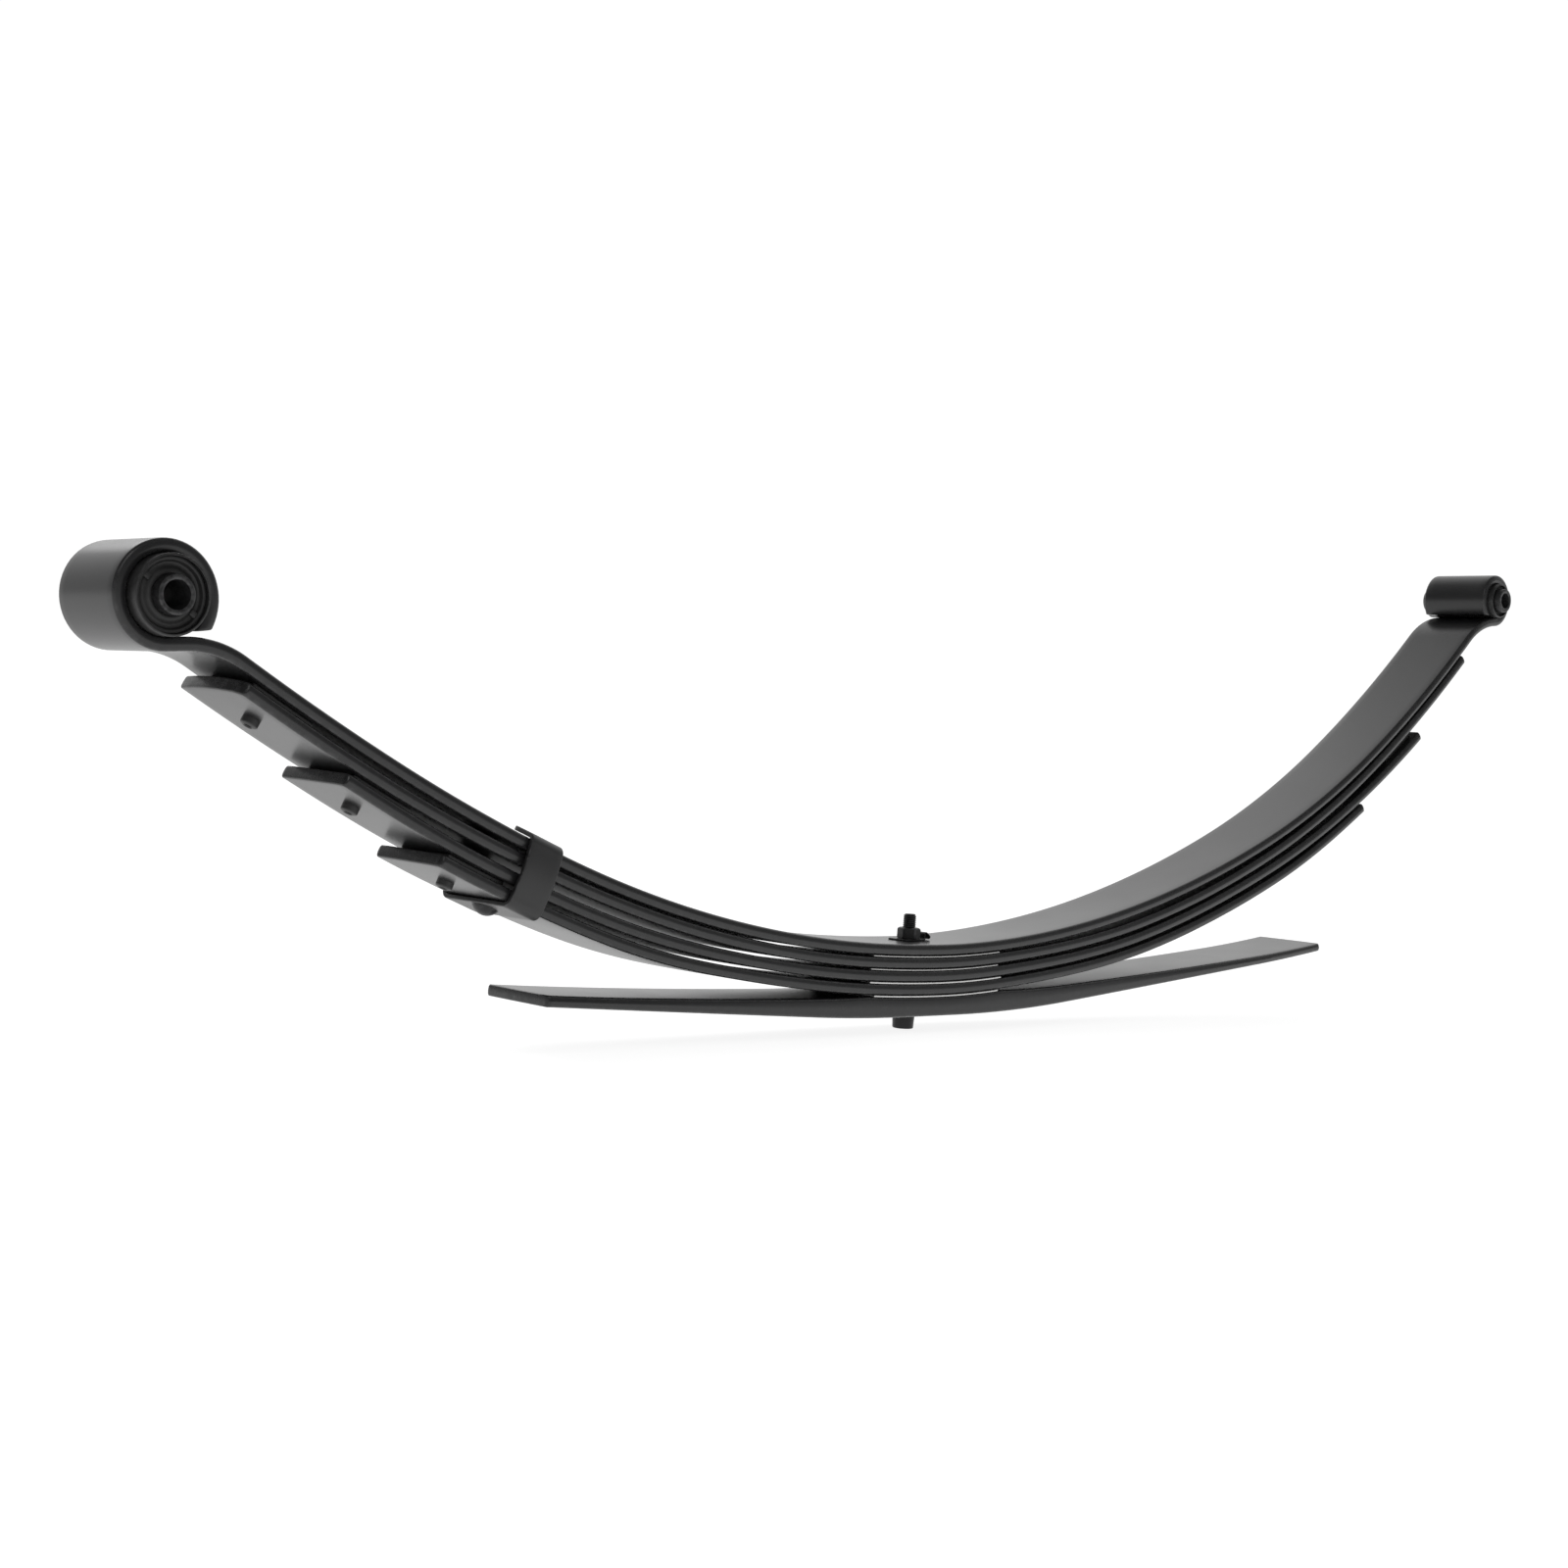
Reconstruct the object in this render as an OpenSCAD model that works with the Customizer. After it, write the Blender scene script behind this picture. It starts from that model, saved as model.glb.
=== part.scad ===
// Multi-leaf vehicle spring with two wrapped eyes, a centre bolt stack and a lower helper leaf.
// Origin: centre of the axle seat, under the overload leaf and on the centre bolt axis.
// +Z runs up the centre bolt, +X toward the rear (smaller) eye, Y across the leaves.

/* [Leaves] */
// width of every leaf
leaf_width = 63.5; // [60:0.5:76]
// thickness of the main leaf and the three leaves under it
leaf_thickness = 7.94; // [7:0.01:8.5]
// scale on the curve of the leaf pack
camber_scale = 1; // [0.9:0.01:1.1]
// thickness of the overload leaf at the seat
overload_thickness = 13.8; // [12:0.1:16]
// thickness of the overload leaf at its front end
overload_front_tip = 7.4; // [6:0.1:9]
// thickness of the overload leaf at its rear end
overload_rear_tip = 6.6; // [6:0.1:9]
// thickness of the plates between the leaves at the seat
spacer_thickness = 1.5; // [1:0.1:2]
// length of the plates between the leaves at the seat
spacer_length = 136; // [110:1:150]

/* [Eyes and bushes] */
// radius of the front eye's bore
front_eye_r = 22.2; // [20:0.1:24]
// radius of the rear eye's bore
rear_eye_r = 15.9; // [15:0.1:18]
// radius of the bolt hole through the front sleeve
front_bolt_hole_r = 7.95; // [6:0.05:8.5]
// radius of the bolt hole through the rear sleeve
rear_bolt_hole_r = 7; // [6:0.05:8.5]
// outer radius of both inner sleeves
sleeve_r = 11; // [10:0.1:12]
// length of the front sleeve
front_sleeve_length = 87.5; // [84:0.5:96]
// length of the rear sleeve
rear_sleeve_length = 80.5; // [78:0.5:96]

/* [Centre bolt] */
// radius of the centre bolt's shank
bolt_r = 4.76; // [4:0.01:5]
// radius of the centre bolt's round head
bolt_head_r = 7.6; // [7:0.1:9]
// height of the centre bolt's round head
bolt_head_height = 12.4; // [8:0.1:14]
// width of the centre nut across its flats
nut_flats = 15.2; // [14:0.1:17]
// height of the centre nut
nut_height = 8; // [7:0.1:9]

/* [Clip and tip pads] */
// place of the rebound clip along the front half of the main leaf
clip_station = 372.5; // [360:1:390]
// width of the clip's strap along the leaves
clip_width = 26; // [22:1:38]
// thickness of the clip's strap
clip_thickness = 3; // [2:0.1:4]
// how far the rivet sits from the middle of the strap, toward the front eye
rivet_offset = 3.5; // [0:0.5:4]
// length of each anti-friction tip pad
pad_length = 44; // [36:1:50]
// width of each anti-friction tip pad
pad_width = 50; // [40:1:58]
// outer radius of the hollow peg under each tip pad
peg_r = 5.3; // [4:0.1:6]

/* [Hidden] */

FRONT = -1;
REAR = 1;
T = leaf_thickness;
gap_seat = spacer_thickness;
seat_half = spacer_length / 2;
step = 10;
fit_gap = 0.05;
hole_slack = 0.4;
peg_inset = 29;

// each arm of the main leaf: [distance along the leaf, rise angle], joined by tangent arcs;
// the last arc is the joggle that brings the leaf under its eye
front_arm = [[0, 0], [60, 2.66 * camber_scale], [205, 11.01 * camber_scale],
             [350, 19.59 * camber_scale], [495, 25.53 * camber_scale],
             [607, 28.96 * camber_scale], [643.71, -5.4], [655.71, -5.4]];
rear_arm = [[0, 0], [60, 4.3 * camber_scale], [235, 14.05 * camber_scale],
            [410, 22.25 * camber_scale], [585, 33.57 * camber_scale],
            [772.8, 41.57 * camber_scale], [823.9, 5.4]];
front_end = front_arm[len(front_arm) - 1][0];
rear_end = rear_arm[len(rear_arm) - 1][0];

// tip of each leaf along the main leaf, for leaves 1 to 4
front_tips = [front_end, 600, 518, 438];
rear_tips = [rear_end, 756, 658, 552];

// opening above leaves 2, 3 and 4 at the seat, at each quarter and at the tip
front_gaps = [[gap_seat, 1.4, 1.7, 3.1, 3.3], [gap_seat, 2.4, 4.6, 4.2, 2.6],
              [gap_seat, 1.7, 3, 2.7, 3.2]];
rear_gaps = [[gap_seat, 4, 3.7, 2.5, 1.7], [gap_seat, 2.4, 2.7, 4.8, 8],
             [gap_seat, 1.9, 2.8, 3.3, 1.8]];

// arms of the overload leaf's underside, flat at the seat, and how sharply its thickness falls
overload_front_arm = [[0, 0], [30, 0], [120, 3.3], [354, 3.5]];
overload_rear_arm = [[0, 0], [20, 0], [150, 5.5], [400, 5.7], [491, 7.6]];
overload_taper = 1.65;

main_mid = overload_thickness + 4 * gap_seat + 3.5 * T;
pack_top = main_mid + T / 2;

// end of an arc that leaves the origin at angle a0 and reaches angle a1 after length l
function arc_end(a0, a1, l) =
    abs(a1 - a0) < 0.001 ? [l * cos(a0), l * sin(a0)]
    : let(r = l * 180 / (PI * (a1 - a0))) [r * (sin(a1) - sin(a0)), r * (cos(a0) - cos(a1))];

// point and angle at distance s along a chain of tangent arcs
function walk(arm, s, i = 1, p = [0, 0]) =
    let(s0 = arm[i - 1][0], s1 = arm[i][0], a0 = arm[i - 1][1], a1 = arm[i][1])
    (s <= s1 || i == len(arm) - 1)
    ? let(a = s > s1 ? a1 : a0 + (a1 - a0) * (s - s0) / (s1 - s0),
          q = s > s1 ? arc_end(a0, a1, s1 - s0) + arc_end(a1, a1, s - s1)
                     : arc_end(a0, a, s - s0))
      [p[0] + q[0], p[1] + q[1], a]
    : walk(arm, s, i + 1, p + arc_end(a0, a1, s1 - s0));

// point at distance s along the arm, raised by d along its normal
function on_arm(arm, s, d, base) =
    let(q = walk(arm, s)) [q[0] - d * sin(q[2]), base + q[1] + d * cos(q[2])];

// smooth curve through five evenly spaced values, level at its start
function through(g, t) =
    let(u = min(max(t, 0), 1) * 4, i = min(floor(u), 3), f = u - i,
        a = i == 0 ? g[1] : g[i - 1], b = g[i], c = g[i + 1], d = g[min(i + 2, 4)])
    b + 0.5 * f * (c - a + f * (2 * a - 5 * b + 4 * c - d + f * (3 * (b - c) + d - a)));

function arm_of(side) = side == FRONT ? front_arm : rear_arm;
function tips_of(side) = side == FRONT ? front_tips : rear_tips;
function gap_above(k, side, s) =
    through((side == FRONT ? front_gaps : rear_gaps)[k - 2],
            (s - seat_half) / (tips_of(side)[k - 1] - seat_half));

// depth of leaf k's top face below the middle of the main leaf
function top_depth(k, side, s) =
    k == 1 ? -T / 2 : top_depth(k - 1, side, s) + T + gap_above(k, side, s);

// side view points of one arm, from the seat to the tip, at a depth below the main leaf
function edge(side, k, drop, s1) =
    [for (i = [0 : ceil(s1 / step)])
        let(s = min(i * step, s1),
            p = on_arm(arm_of(side), s, -top_depth(k, side, s) - drop, main_mid))
        [side * p[0], p[1]]];

function reversed(v) = [for (i = [len(v) - 1 : -1 : 0]) v[i]];
function from_second(v) = [for (i = [1 : len(v) - 1]) v[i]];
function without_last(v) = [for (i = [0 : len(v) - 2]) v[i]];

// upright plate of a given width from a side view outline
module plate(points, width) {
    rotate([90, 0, 0])
        linear_extrude(height = width, center = true)
            polygon(points);
}

// children placed on the normal of an arm at distance s and height d
module at_station(side, s, d) {
    q = walk(arm_of(side), s);
    p = on_arm(arm_of(side), s, d, main_mid);
    translate([side * p[0], 0, p[1]])
        rotate([0, -side * q[2], 0])
            children();
}

module bored_tube(outer_r, inner_r, length) {
    rotate([90, 0, 0])
        difference() {
            cylinder(r = outer_r, h = length, center = true, $fn = 96);
            cylinder(r = inner_r, h = length + 2, center = true, $fn = 96);
        }
}

module bolt_hole(z0, z1) {
    translate([0, 0, z0])
        cylinder(r = bolt_r + hole_slack, h = z1 - z0, $fn = 48);
}

module peg_hole(side, k) {
    at_station(side, tips_of(side)[k - 1] - peg_inset, -top_depth(k, side, tips_of(side)[k - 1]) - T)
        cylinder(r = peg_r + hole_slack, h = 6 * T, center = true, $fn = 48);
}

// one plain leaf under the main leaf
module leaf(k) {
    f = front_tips[k - 1];
    r = rear_tips[k - 1];
    outline = concat(reversed(edge(FRONT, k, 0, f)), from_second(edge(REAR, k, 0, r)),
                     reversed(edge(REAR, k, T, r)), from_second(edge(FRONT, k, T, f)));
    difference() {
        plate(outline, leaf_width);
        bolt_hole(0, pack_top + T);
        peg_hole(FRONT, k);
        peg_hole(REAR, k);
        if (k == 4) clip_rivet_hole();
    }
}

// wrapped eye: a ring, open where the wrap stops short of the leaf
wrap_stop = 2.2;
function eye_centre(side) =
    let(r = side == FRONT ? front_eye_r : rear_eye_r,
        p = on_arm(arm_of(side), tips_of(side)[0], r + T / 2, main_mid))
    [side * p[0], p[1]];

module at_eye(side) {
    c = eye_centre(side);
    translate([c[0], 0, c[1]])
        rotate([0, -side * walk(arm_of(side), tips_of(side)[0])[2], 0])
            children();
}

module eye(side) {
    r = side == FRONT ? front_eye_r : rear_eye_r;
    size = r + T + 2;
    at_eye(side)
        difference() {
            bored_tube(r + T, r, leaf_width);
            translate([side == FRONT ? 0 : -size, -leaf_width, -size])
                cube([size, 2 * leaf_width, size - r + wrap_stop]);
        }
}

// leaf end carried a little way into its eye's ring, just inside the ring's own faces
end_lip = 0.06;
function leaf_end(side, past, half) =
    let(p = on_arm(arm_of(side), tips_of(side)[0] + past, half, main_mid)) [side * p[0], p[1]];
function into_eye(side) =
    [leaf_end(side, 0.4, T / 2 - end_lip), leaf_end(side, 1, T / 2 - 3 * end_lip),
     leaf_end(side, 1, 3 * end_lip - T / 2), leaf_end(side, 0.4, end_lip - T / 2)];

module main_leaf() {
    outline = concat(from_second(reversed(edge(FRONT, 1, 0, front_end))),
                     from_second(without_last(edge(REAR, 1, 0, rear_end))), into_eye(REAR),
                     from_second(reversed(edge(REAR, 1, T, rear_end))),
                     from_second(without_last(edge(FRONT, 1, T, front_end))),
                     reversed(into_eye(FRONT)));
    color([0.05, 0.05, 0.055]) {
        difference() {
            plate(outline, leaf_width);
            bolt_hole(main_mid - T, pack_top + T);
        }
        eye(FRONT);
        eye(REAR);
    }
}

module second_leaf() color([0.05, 0.05, 0.055]) leaf(2);

module third_leaf() color([0.05, 0.05, 0.055]) leaf(3);

module fourth_leaf() color([0.05, 0.05, 0.055]) leaf(4);

// top of the overload leaf: it follows the pack over the spacer, then tapers to the tip
function overload_top(side, s, arm, tip) =
    s <= seat_half
    ? on_arm(arm_of(side), s, -top_depth(4, side, s) - T - gap_seat, main_mid)
    : let(end = arm[len(arm) - 1][0], t = (s - seat_half) / (end - seat_half),
          p = on_arm(arm_of(side), seat_half, -top_depth(4, side, seat_half) - T - gap_seat, main_mid),
          root = p[1] - on_arm(arm, seat_half, 0, 0)[1])
      on_arm(arm, s, tip + (root - tip) * pow(1 - t, overload_taper), 0);

function overload_stations(end) =
    concat([for (s = [0 : step : end]) if (s < seat_half - 1) s], [seat_half],
           [for (s = [0 : step : end]) if (s > seat_half + 6 && s < end - 1) s], [end]);
function overload_edge(side, arm, tip, top) =
    [for (s = overload_stations(arm[len(arm) - 1][0]))
        let(p = top ? overload_top(side, s, arm, tip) : on_arm(arm, s, 0, 0))
        [side * p[0], p[1]]];

module overload_leaf() {
    outline = concat(reversed(overload_edge(FRONT, overload_front_arm, overload_front_tip, true)),
                     from_second(overload_edge(REAR, overload_rear_arm, overload_rear_tip, true)),
                     reversed(overload_edge(REAR, overload_rear_arm, overload_rear_tip, false)),
                     from_second(overload_edge(FRONT, overload_front_arm, overload_front_tip, false)));
    color([0.05, 0.05, 0.055])
        difference() {
            plate(outline, leaf_width);
            bolt_hole(-1, overload_thickness + 1);
        }
}

// plate k lies under leaf k at the seat and follows its underside
module centre_spacer(k) {
    high = T + fit_gap;
    low = T + gap_seat - fit_gap;
    outline = concat(reversed(edge(FRONT, k, high, seat_half)), from_second(edge(REAR, k, high, seat_half)),
                     reversed(edge(REAR, k, low, seat_half)), from_second(edge(FRONT, k, low, seat_half)));
    color([0.75, 0.75, 0.74])
        difference() {
            plate(outline, leaf_width);
            bolt_hole(0, pack_top);
        }
}

module centre_spacer_1() centre_spacer(1);

module centre_spacer_2() centre_spacer(2);

module centre_spacer_3() centre_spacer(3);

module centre_spacer_4() centre_spacer(4);

module centre_bolt() {
    color([0.06, 0.06, 0.06]) {
        translate([0, 0, -bolt_head_height])
            cylinder(r = bolt_head_r, h = bolt_head_height - fit_gap, $fn = 64);
        translate([0, 0, -bolt_head_height / 2])
            cylinder(r = bolt_r, h = bolt_head_height / 2 + bolt_top, $fn = 48);
    }
}

// hexagonal nut on the tab washer
washer_thickness = 1.2;
washer_seat = pack_top + 0.12;
nut_seat = washer_seat + washer_thickness + fit_gap;
bolt_top = pack_top + 19.3;

// how far the tightened nut has turned from a corner on +X
nut_turn = 16;
module centre_nut() {
    color([0.06, 0.06, 0.06])
        difference() {
            translate([0, 0, nut_seat])
                rotate([0, 0, nut_turn])
                    cylinder(d = nut_flats / cos(30), h = nut_height, $fn = 6);
            translate([0, 0, nut_seat - 1])
                cylinder(r = bolt_r + fit_gap, h = nut_height + 2, $fn = 48);
        }
}

// lock plate: flat toward the front, its tongue folded up beside the nut and over toward the rear
tab_width = 16;
tab_front = 14.5;
tab_fold = 10.4;
tab_bend = 1.4;
tab_up = 2.2;
tab_droop = -36;
tab_tongue = 7;

tab_arm = let(a = tab_fold, b = a + tab_bend * PI / 2, c = b + tab_up,
              d = c + tab_bend * PI * (90 - tab_droop) / 180)
          [[0, 0], [a, 0], [b, 90], [c, 90], [d, tab_droop], [d + tab_tongue, tab_droop]];

// distances along an arm, close together in its bends
function stops(arm, first, n) =
    concat(first, [for (j = [1 : len(arm) - 1], i = [1 : n])
                      arm[j - 1][0] + i / n * (arm[j][0] - arm[j - 1][0])]);

// outline of a bent strip of thickness t whose centreline is an arm
function strip(arm, s, t, base) =
    concat([for (d = s) on_arm(arm, d, t / 2, base)],
           reversed([for (d = s) on_arm(arm, d, -t / 2, base)]));

module tab_washer() {
    z = washer_seat;
    color([0.1, 0.1, 0.1])
        difference() {
            plate(strip(tab_arm, stops(tab_arm, [-tab_front, 0], 6), washer_thickness,
                        z + washer_thickness / 2), tab_width);
            bolt_hole(z - 1, z + 3);
        }
}

// rebound clip: a strap under leaf 4, up both sides, with its ends bent in over the main leaf
clip_side_gap = 0.7;
rivet_station = clip_station + rivet_offset;
clip_bend = clip_thickness + 0.5;
clip_under = top_depth(4, FRONT, clip_station) + T + 0.7;
clip_tab_angle = 168;
clip_tab = 19;
clip_rise = clip_under + T / 2 + 3.7;

// strap centreline from the bottom middle: across, up, and in over the top
clip_flat = leaf_width / 2 + clip_side_gap + clip_thickness / 2 - clip_bend;
clip_arm = [[0, 0], [clip_flat, 0], [clip_flat + clip_bend * PI / 2, 90],
            [clip_flat + clip_bend * PI / 2 + clip_rise - 2 * clip_bend, 90],
            [clip_flat + clip_bend * (PI / 2 + PI * 78 / 180) + clip_rise - 2 * clip_bend, clip_tab_angle],
            [clip_flat + clip_bend * (PI / 2 + PI * 78 / 180) + clip_rise - 2 * clip_bend + clip_tab,
             clip_tab_angle]];

function mirrored(v) = [for (p = v) [-p[0], p[1]]];

// whole strap outline, made from one side and its mirror image
function clip_outline() =
    let(s = stops(clip_arm, [], 8), base = -clip_under - clip_thickness / 2,
        under = [for (d = s) on_arm(clip_arm, d, -clip_thickness / 2, base)],
        over = [for (d = s) on_arm(clip_arm, d, clip_thickness / 2, base)])
    concat(mirrored(reversed(under)), under, reversed(over), mirrored(over));

module rebound_clip() {
    color([0.06, 0.06, 0.06])
        difference() {
            at_station(FRONT, clip_station, 0)
                rotate([90, 0, 90])
                    linear_extrude(height = clip_width, center = true)
                        polygon(clip_outline());
            clip_rivet_hole();
        }
}

// rivet through leaf 4 and the clip, with a domed head underneath
rivet_r = 4;
rivet_head_r = 8.6;
rivet_head_height = 5;
rivet_cap = 1.2;

module clip_rivet_hole() {
    at_station(FRONT, rivet_station, -clip_under)
        cylinder(r = rivet_r + fit_gap, h = 6 * T, center = true, $fn = 48);
}

module clip_rivet() {
    top = -top_depth(4, FRONT, rivet_station) + fit_gap;
    bottom = -clip_under - clip_thickness - fit_gap;
    ball_r = (pow(rivet_head_r, 2) + pow(rivet_head_height, 2)) / (2 * rivet_head_height);
    color([0.08, 0.08, 0.08])
        at_station(FRONT, rivet_station, 0) {
            translate([0, 0, top])
                cylinder(r = rivet_r + 1.6, h = rivet_cap, $fn = 48);
            translate([0, 0, bottom - 1])
                cylinder(r = rivet_r, h = top - bottom + 1 + rivet_cap / 2, $fn = 48);
            rotate_extrude($fn = 64)
                intersection() {
                    translate([0, bottom - rivet_head_height + ball_r])
                        circle(r = ball_r, $fn = 128);
                    translate([0, bottom - rivet_head_height])
                        square([rivet_head_r, rivet_head_height]);
                }
        }
}

// anti-friction pad between leaf k and the leaf above, held by a hollow peg through leaf k
peg_bore_r = 2.7;
peg_reach = 4;
pad_inset = 7;

module tip_pad(side, k) {
    tip = tips_of(side)[k - 1];
    s0 = tip - pad_inset - pad_length;
    n = 6;
    stops = [for (i = [0 : n]) s0 + pad_length * i / n];
    top = [for (s = stops)
              let(p = on_arm(arm_of(side), s, -top_depth(k - 1, side, s) - T - fit_gap, main_mid))
              [side * p[0], p[1]]];
    bottom = [for (s = stops)
                 let(p = on_arm(arm_of(side), s, -top_depth(k, side, s) + fit_gap, main_mid))
                 [side * p[0], p[1]]];
    seat = -top_depth(k, side, tip - peg_inset);
    color([0.04, 0.04, 0.04])
        difference() {
            union() {
                plate(concat(top, reversed(bottom)), pad_width);
                at_station(side, tip - peg_inset, seat - T - peg_reach)
                    cylinder(r = peg_r, h = T + peg_reach + 0.8, $fn = 48);
            }
            at_station(side, tip - peg_inset, seat - T - peg_reach - 1)
                cylinder(r = peg_bore_r, h = T + peg_reach, $fn = 48);
        }
}

module front_pad_2() tip_pad(FRONT, 2);

module front_pad_3() tip_pad(FRONT, 3);

module front_pad_4() tip_pad(FRONT, 4);

module rear_pad_2() tip_pad(REAR, 2);

module rear_pad_3() tip_pad(REAR, 3);

module rear_pad_4() tip_pad(REAR, 4);

// bonded bushes: outer shell pressed in the eye, rubber, and an inner sleeve that turns
front_shell_length = leaf_width + 16;
rear_shell_length = leaf_width + 8;
shell_wall = 1.4;
rubber_recess = 2.5;
turning_gap = 0.05;

module bush_shell(side, length) {
    r = (side == FRONT ? front_eye_r : rear_eye_r) - fit_gap;
    color([0.07, 0.07, 0.07])
        at_eye(side)
            bored_tube(r, r - shell_wall, length);
}

module bush_rubber(side, length) {
    r = (side == FRONT ? front_eye_r : rear_eye_r) - 2 * fit_gap - shell_wall;
    color([0.03, 0.03, 0.03])
        at_eye(side)
            bored_tube(r, sleeve_r + turning_gap, length - 2 * rubber_recess);
}

module front_bush_shell() bush_shell(FRONT, front_shell_length);

module front_bush_rubber() bush_rubber(FRONT, front_shell_length);

module rear_bush_shell() bush_shell(REAR, rear_shell_length);

module rear_bush_rubber() bush_rubber(REAR, rear_shell_length);

module front_bush_sleeve() {
    color([0.1, 0.1, 0.1])
        at_eye(FRONT)
            bored_tube(sleeve_r, front_bolt_hole_r, front_sleeve_length);
}

module rear_bush_sleeve() {
    color([0.1, 0.1, 0.1])
        at_eye(REAR)
            bored_tube(sleeve_r, rear_bolt_hole_r, rear_sleeve_length);
}

main_leaf();
second_leaf();
third_leaf();
fourth_leaf();
overload_leaf();
centre_spacer_1();
centre_spacer_2();
centre_spacer_3();
centre_spacer_4();
centre_bolt();
centre_nut();
tab_washer();
rebound_clip();
clip_rivet();
front_pad_2();
front_pad_3();
front_pad_4();
rear_pad_2();
rear_pad_3();
rear_pad_4();
front_bush_shell();
front_bush_rubber();
front_bush_sleeve();
rear_bush_shell();
rear_bush_rubber();
rear_bush_sleeve();
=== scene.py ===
"""A multi-leaf vehicle spring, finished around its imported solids. Metres, in the solids' own frame:
the origin is the centre of the axle seat, +Z runs up the centre bolt and +X toward the rear eye."""
from math import acos, cos, pi, radians, sin, tan

import bmesh
import bpy
from mathutils import Matrix, Vector


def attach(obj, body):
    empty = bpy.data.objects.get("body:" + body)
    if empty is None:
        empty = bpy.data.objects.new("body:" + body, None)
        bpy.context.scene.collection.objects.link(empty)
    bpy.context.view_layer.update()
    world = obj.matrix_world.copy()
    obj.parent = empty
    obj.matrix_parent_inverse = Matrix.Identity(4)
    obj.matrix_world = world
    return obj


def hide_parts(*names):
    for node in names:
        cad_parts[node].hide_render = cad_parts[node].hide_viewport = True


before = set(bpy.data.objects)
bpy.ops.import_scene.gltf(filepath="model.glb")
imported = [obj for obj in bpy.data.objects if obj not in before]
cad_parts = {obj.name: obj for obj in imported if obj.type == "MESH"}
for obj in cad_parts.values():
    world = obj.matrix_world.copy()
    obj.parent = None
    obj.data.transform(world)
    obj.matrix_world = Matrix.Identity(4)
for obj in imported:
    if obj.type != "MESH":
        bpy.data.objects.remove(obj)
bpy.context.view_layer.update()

MM = 0.001
PACK = "leaf_pack"
FRONT, REAR = -1, 1

# ---------------------------------------------------------------- the spring's own sizes, in mm
LEAF_WIDTH = 63.5
LEAF_T = 7.94
SEAT_GAP = 1.5          # between two leaves at the seat
SEAT_HALF = 68.0        # half the length over which that gap holds
OVERLOAD_T = 13.8
OVERLOAD_TAPER = 1.65   # how fast the overload leaf thins toward its ends
PACK_TOP = OVERLOAD_T + 4 * SEAT_GAP + 4 * LEAF_T
MAIN_MID = PACK_TOP - LEAF_T / 2

# arms of the main leaf: distance along the leaf and rise angle, joined by tangent arcs
ARMS = {
    FRONT: [(0, 0), (60, 2.66), (205, 11.01), (350, 19.59), (495, 25.53), (607, 28.96), (643.71, -5.4),
            (655.71, -5.4)],
    REAR: [(0, 0), (60, 4.3), (235, 14.05), (410, 22.25), (585, 33.57), (772.8, 41.57), (823.9, 5.4)],
}
# where each leaf from the main one down ends, along the main leaf
TIPS = {FRONT: [655.71, 600, 518, 438], REAR: [823.9, 756, 658, 552]}
# gap over the second, third and fourth leaf at five even steps from the seat to that leaf's tip
GAPS = {
    FRONT: [[1.5, 1.4, 1.7, 3.1, 3.3], [1.5, 2.4, 4.6, 4.2, 2.6], [1.5, 1.7, 3, 2.7, 3.2]],
    REAR: [[1.5, 4, 3.7, 2.5, 1.7], [1.5, 2.4, 2.7, 4.8, 8], [1.5, 1.9, 2.8, 3.3, 1.8]],
}
# underside of the overload leaf, as for the main leaf
OVERLOAD_ARMS = {
    FRONT: [(0, 0), (30, 0), (120, 3.3), (354, 3.5)],
    REAR: [(0, 0), (20, 0), (150, 5.5), (400, 5.7), (491, 7.6)],
}
OVERLOAD_TIP = {FRONT: 7.4, REAR: 6.6}
EYE_R = {FRONT: 22.2, REAR: 15.9}
WRAP_STOP = 2.2                         # how far short of the leaf a wrap's free end stops
WRAP_SPREAD = {FRONT: 3.2, REAR: 0.4}   # how far a wrap opens toward its free end
WRAP_STEPS = 54
PEG_INSET = 29.0                        # from a leaf's tip back to its pad's peg
CLIP_STATION = 372.5


# ---------------------------------------------------------------- curves of the leaves
def arc_end(a0, a1, length):
    """End of an arc that leaves the origin at angle a0 and reaches angle a1."""
    b0, b1 = radians(a0), radians(a1)
    if abs(b1 - b0) < 1e-5:
        return length * cos(b0), length * sin(b0)
    r = length / (b1 - b0)
    return r * (sin(b1) - sin(b0)), r * (cos(b0) - cos(b1))


def walk(arm, s):
    """Point and angle at distance s along a chain of tangent arcs."""
    x = z = 0.0
    for (s0, a0), (s1, a1) in zip(arm, arm[1:]):
        if s <= s1:
            a = a0 + (a1 - a0) * (s - s0) / (s1 - s0)
            dx, dz = arc_end(a0, a, s - s0)
            return x + dx, z + dz, radians(a)
        dx, dz = arc_end(a0, a1, s1 - s0)
        x, z = x + dx, z + dz
    last = radians(arm[-1][1])
    over = s - arm[-1][0]
    return x + over * cos(last), z + over * sin(last), last


def through(values, t):
    """Smooth curve through five evenly spaced values, level at its start."""
    u = min(max(t, 0.0), 1.0) * 4
    i = min(int(u), 3)
    f = u - i
    a = values[1] if i == 0 else values[i - 1]
    b, c, d = values[i], values[i + 1], values[min(i + 2, 4)]
    return b + 0.5 * f * (c - a + f * (2 * a - 5 * b + 4 * c - d + f * (3 * (b - c) + d - a)))


def top_depth(k, side, s):
    """Depth of leaf k's top face below the middle of the main leaf."""
    depth = -LEAF_T / 2
    for n in range(2, k + 1):
        t = (s - SEAT_HALF) / (TIPS[side][n - 1] - SEAT_HALF)
        depth += LEAF_T + through(GAPS[side][n - 2], t)
    return depth


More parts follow.
